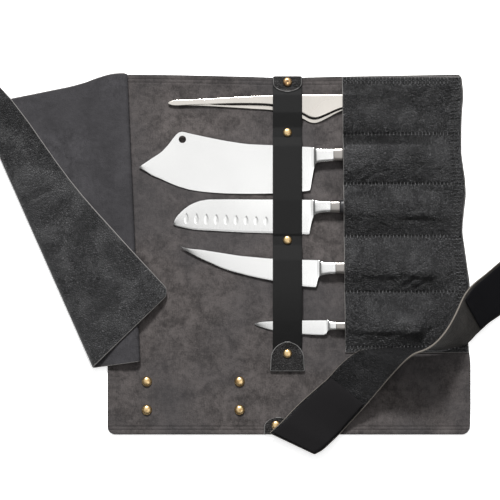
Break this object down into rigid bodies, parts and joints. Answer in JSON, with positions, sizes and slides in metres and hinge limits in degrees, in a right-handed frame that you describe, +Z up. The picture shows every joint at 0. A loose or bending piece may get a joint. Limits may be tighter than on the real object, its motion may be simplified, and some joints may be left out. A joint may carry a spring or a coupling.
{
  "type": "knife roll with knives",
  "caption": "Open leather knife roll with stitched pockets, a folded blade flap, a woven band and a twisted closure strap, holding kitchen knives and fish tweezers.",
  "frame": {"origin": "middle of the main panel's underside, where the open roll rests", "axes": "+X along the knives from the tips to the pockets, +Y up the row of pockets, +Z up out of the panel"},
  "size_m": [0.7148, 0.4735, 0.0702],
  "materials": {
    "panel_suede": "suede side of split leather, mottled grey",
    "flap_leather": "black grain on one side, grey suede on the other",
    "black_grain_leather": "pebbled black grain, satin",
    "strap_leather": "fine black grain",
    "black_band": "matte woven elastic",
    "hook_tape": "matte hook and loop tape",
    "polished_steel": "finely polished blade steel",
    "brushed_steel": "brushed grey steel",
    "handle_plastic": "black, finely textured",
    "aged_brass": "aged brass, softly polished"
  },
  "bodies": {
    "root": {"base_panel": "panel_suede", "pocket_panel": "black_grain_leather", "blade_flap": "flap_leather", "blade_band": "black_band", "band_top_tab": "black_grain_leather", "band_end_tab": "black_grain_leather", "lower_edge_tab": "black_grain_leather", "closure_strap": "strap_leather", "hook_patch": "hook_tape", "loop_patch": "hook_tape", "top_tab_snap": "aged_brass", "band_rivet_upper": "aged_brass", "band_rivet_lower": "aged_brass", "band_end_snap": "aged_brass", "lower_tab_snap": "aged_brass", "stud_1": "aged_brass", "stud_2": "aged_brass", "stud_3": "aged_brass", "stud_4": "aged_brass", "chef_blade": "polished_steel", "chef_ring": "brushed_steel", "chef_handle": "handle_plastic", "santoku_blade": "polished_steel", "santoku_ring": "brushed_steel", "santoku_handle": "handle_plastic", "fillet_blade": "polished_steel", "fillet_ring": "brushed_steel", "fillet_handle": "handle_plastic", "paring_blade": "polished_steel", "paring_ring": "brushed_steel", "paring_handle": "handle_plastic", "fish_tweezers": "polished_steel"}
  },
  "joints": []
}
